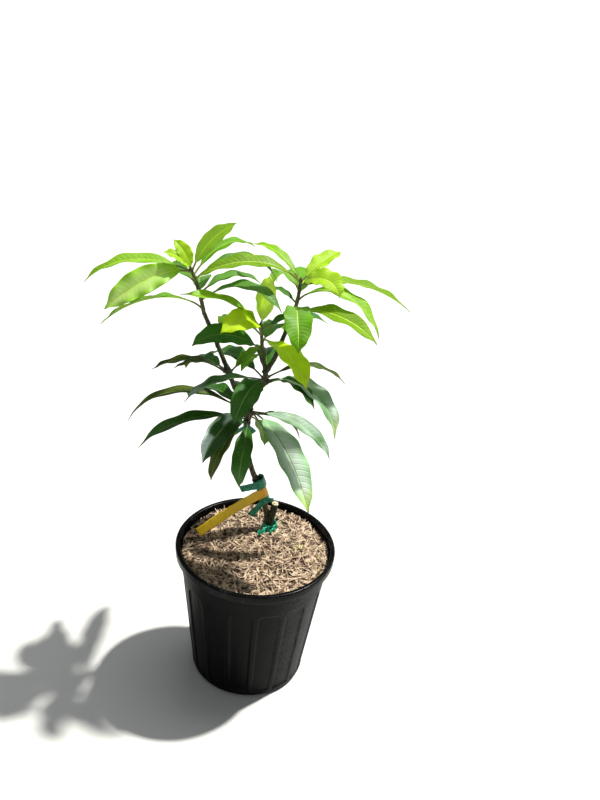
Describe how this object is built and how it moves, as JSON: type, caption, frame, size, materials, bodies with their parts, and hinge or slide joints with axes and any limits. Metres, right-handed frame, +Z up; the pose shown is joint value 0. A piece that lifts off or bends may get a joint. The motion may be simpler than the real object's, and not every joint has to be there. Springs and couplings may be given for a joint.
{
  "type": "potted sapling",
  "caption": "Young mango tree in a round fluted nursery pot: slim forked trunk with whorls of long drooping leaves, green tape ties and a blank yellow strip.",
  "frame": {"origin": "centre of the pot's flat underside", "axes": "+Z up; the front, with the label's free end and the nearest leaves, faces -Y; +X to the right seen from the front"},
  "size_m": [0.3093, 0.2246, 0.5015],
  "materials": {
    "pot_plastic": "satin black moulded plastic",
    "mulch": "loose shredded bark",
    "bark": "grey-brown young bark",
    "green_bark": "olive green young bark",
    "young_leaf": "glossy yellow-green leaf",
    "old_leaf": "glossy dark green leaf",
    "tie_green": "dark green tape",
    "tie_bright": "turquoise tape",
    "label_yellow": "plain yellow plastic strip"
  },
  "bodies": {
    "root": {"pot": "pot_plastic", "soil": "mulch", "trunk": "bark", "bough_left": "green_bark", "bough_right": "green_bark", "foliage_left": "young_leaf", "foliage_centre": "young_leaf", "foliage_right": "young_leaf", "foliage_fork": "old_leaf", "foliage_mid": "old_leaf", "foliage_lower": "old_leaf", "tie_upper": "tie_green", "tie_lower": "tie_green", "tie_graft": "tie_green", "tie_base": "tie_bright", "label_strip": "label_yellow"}
  },
  "joints": []
}
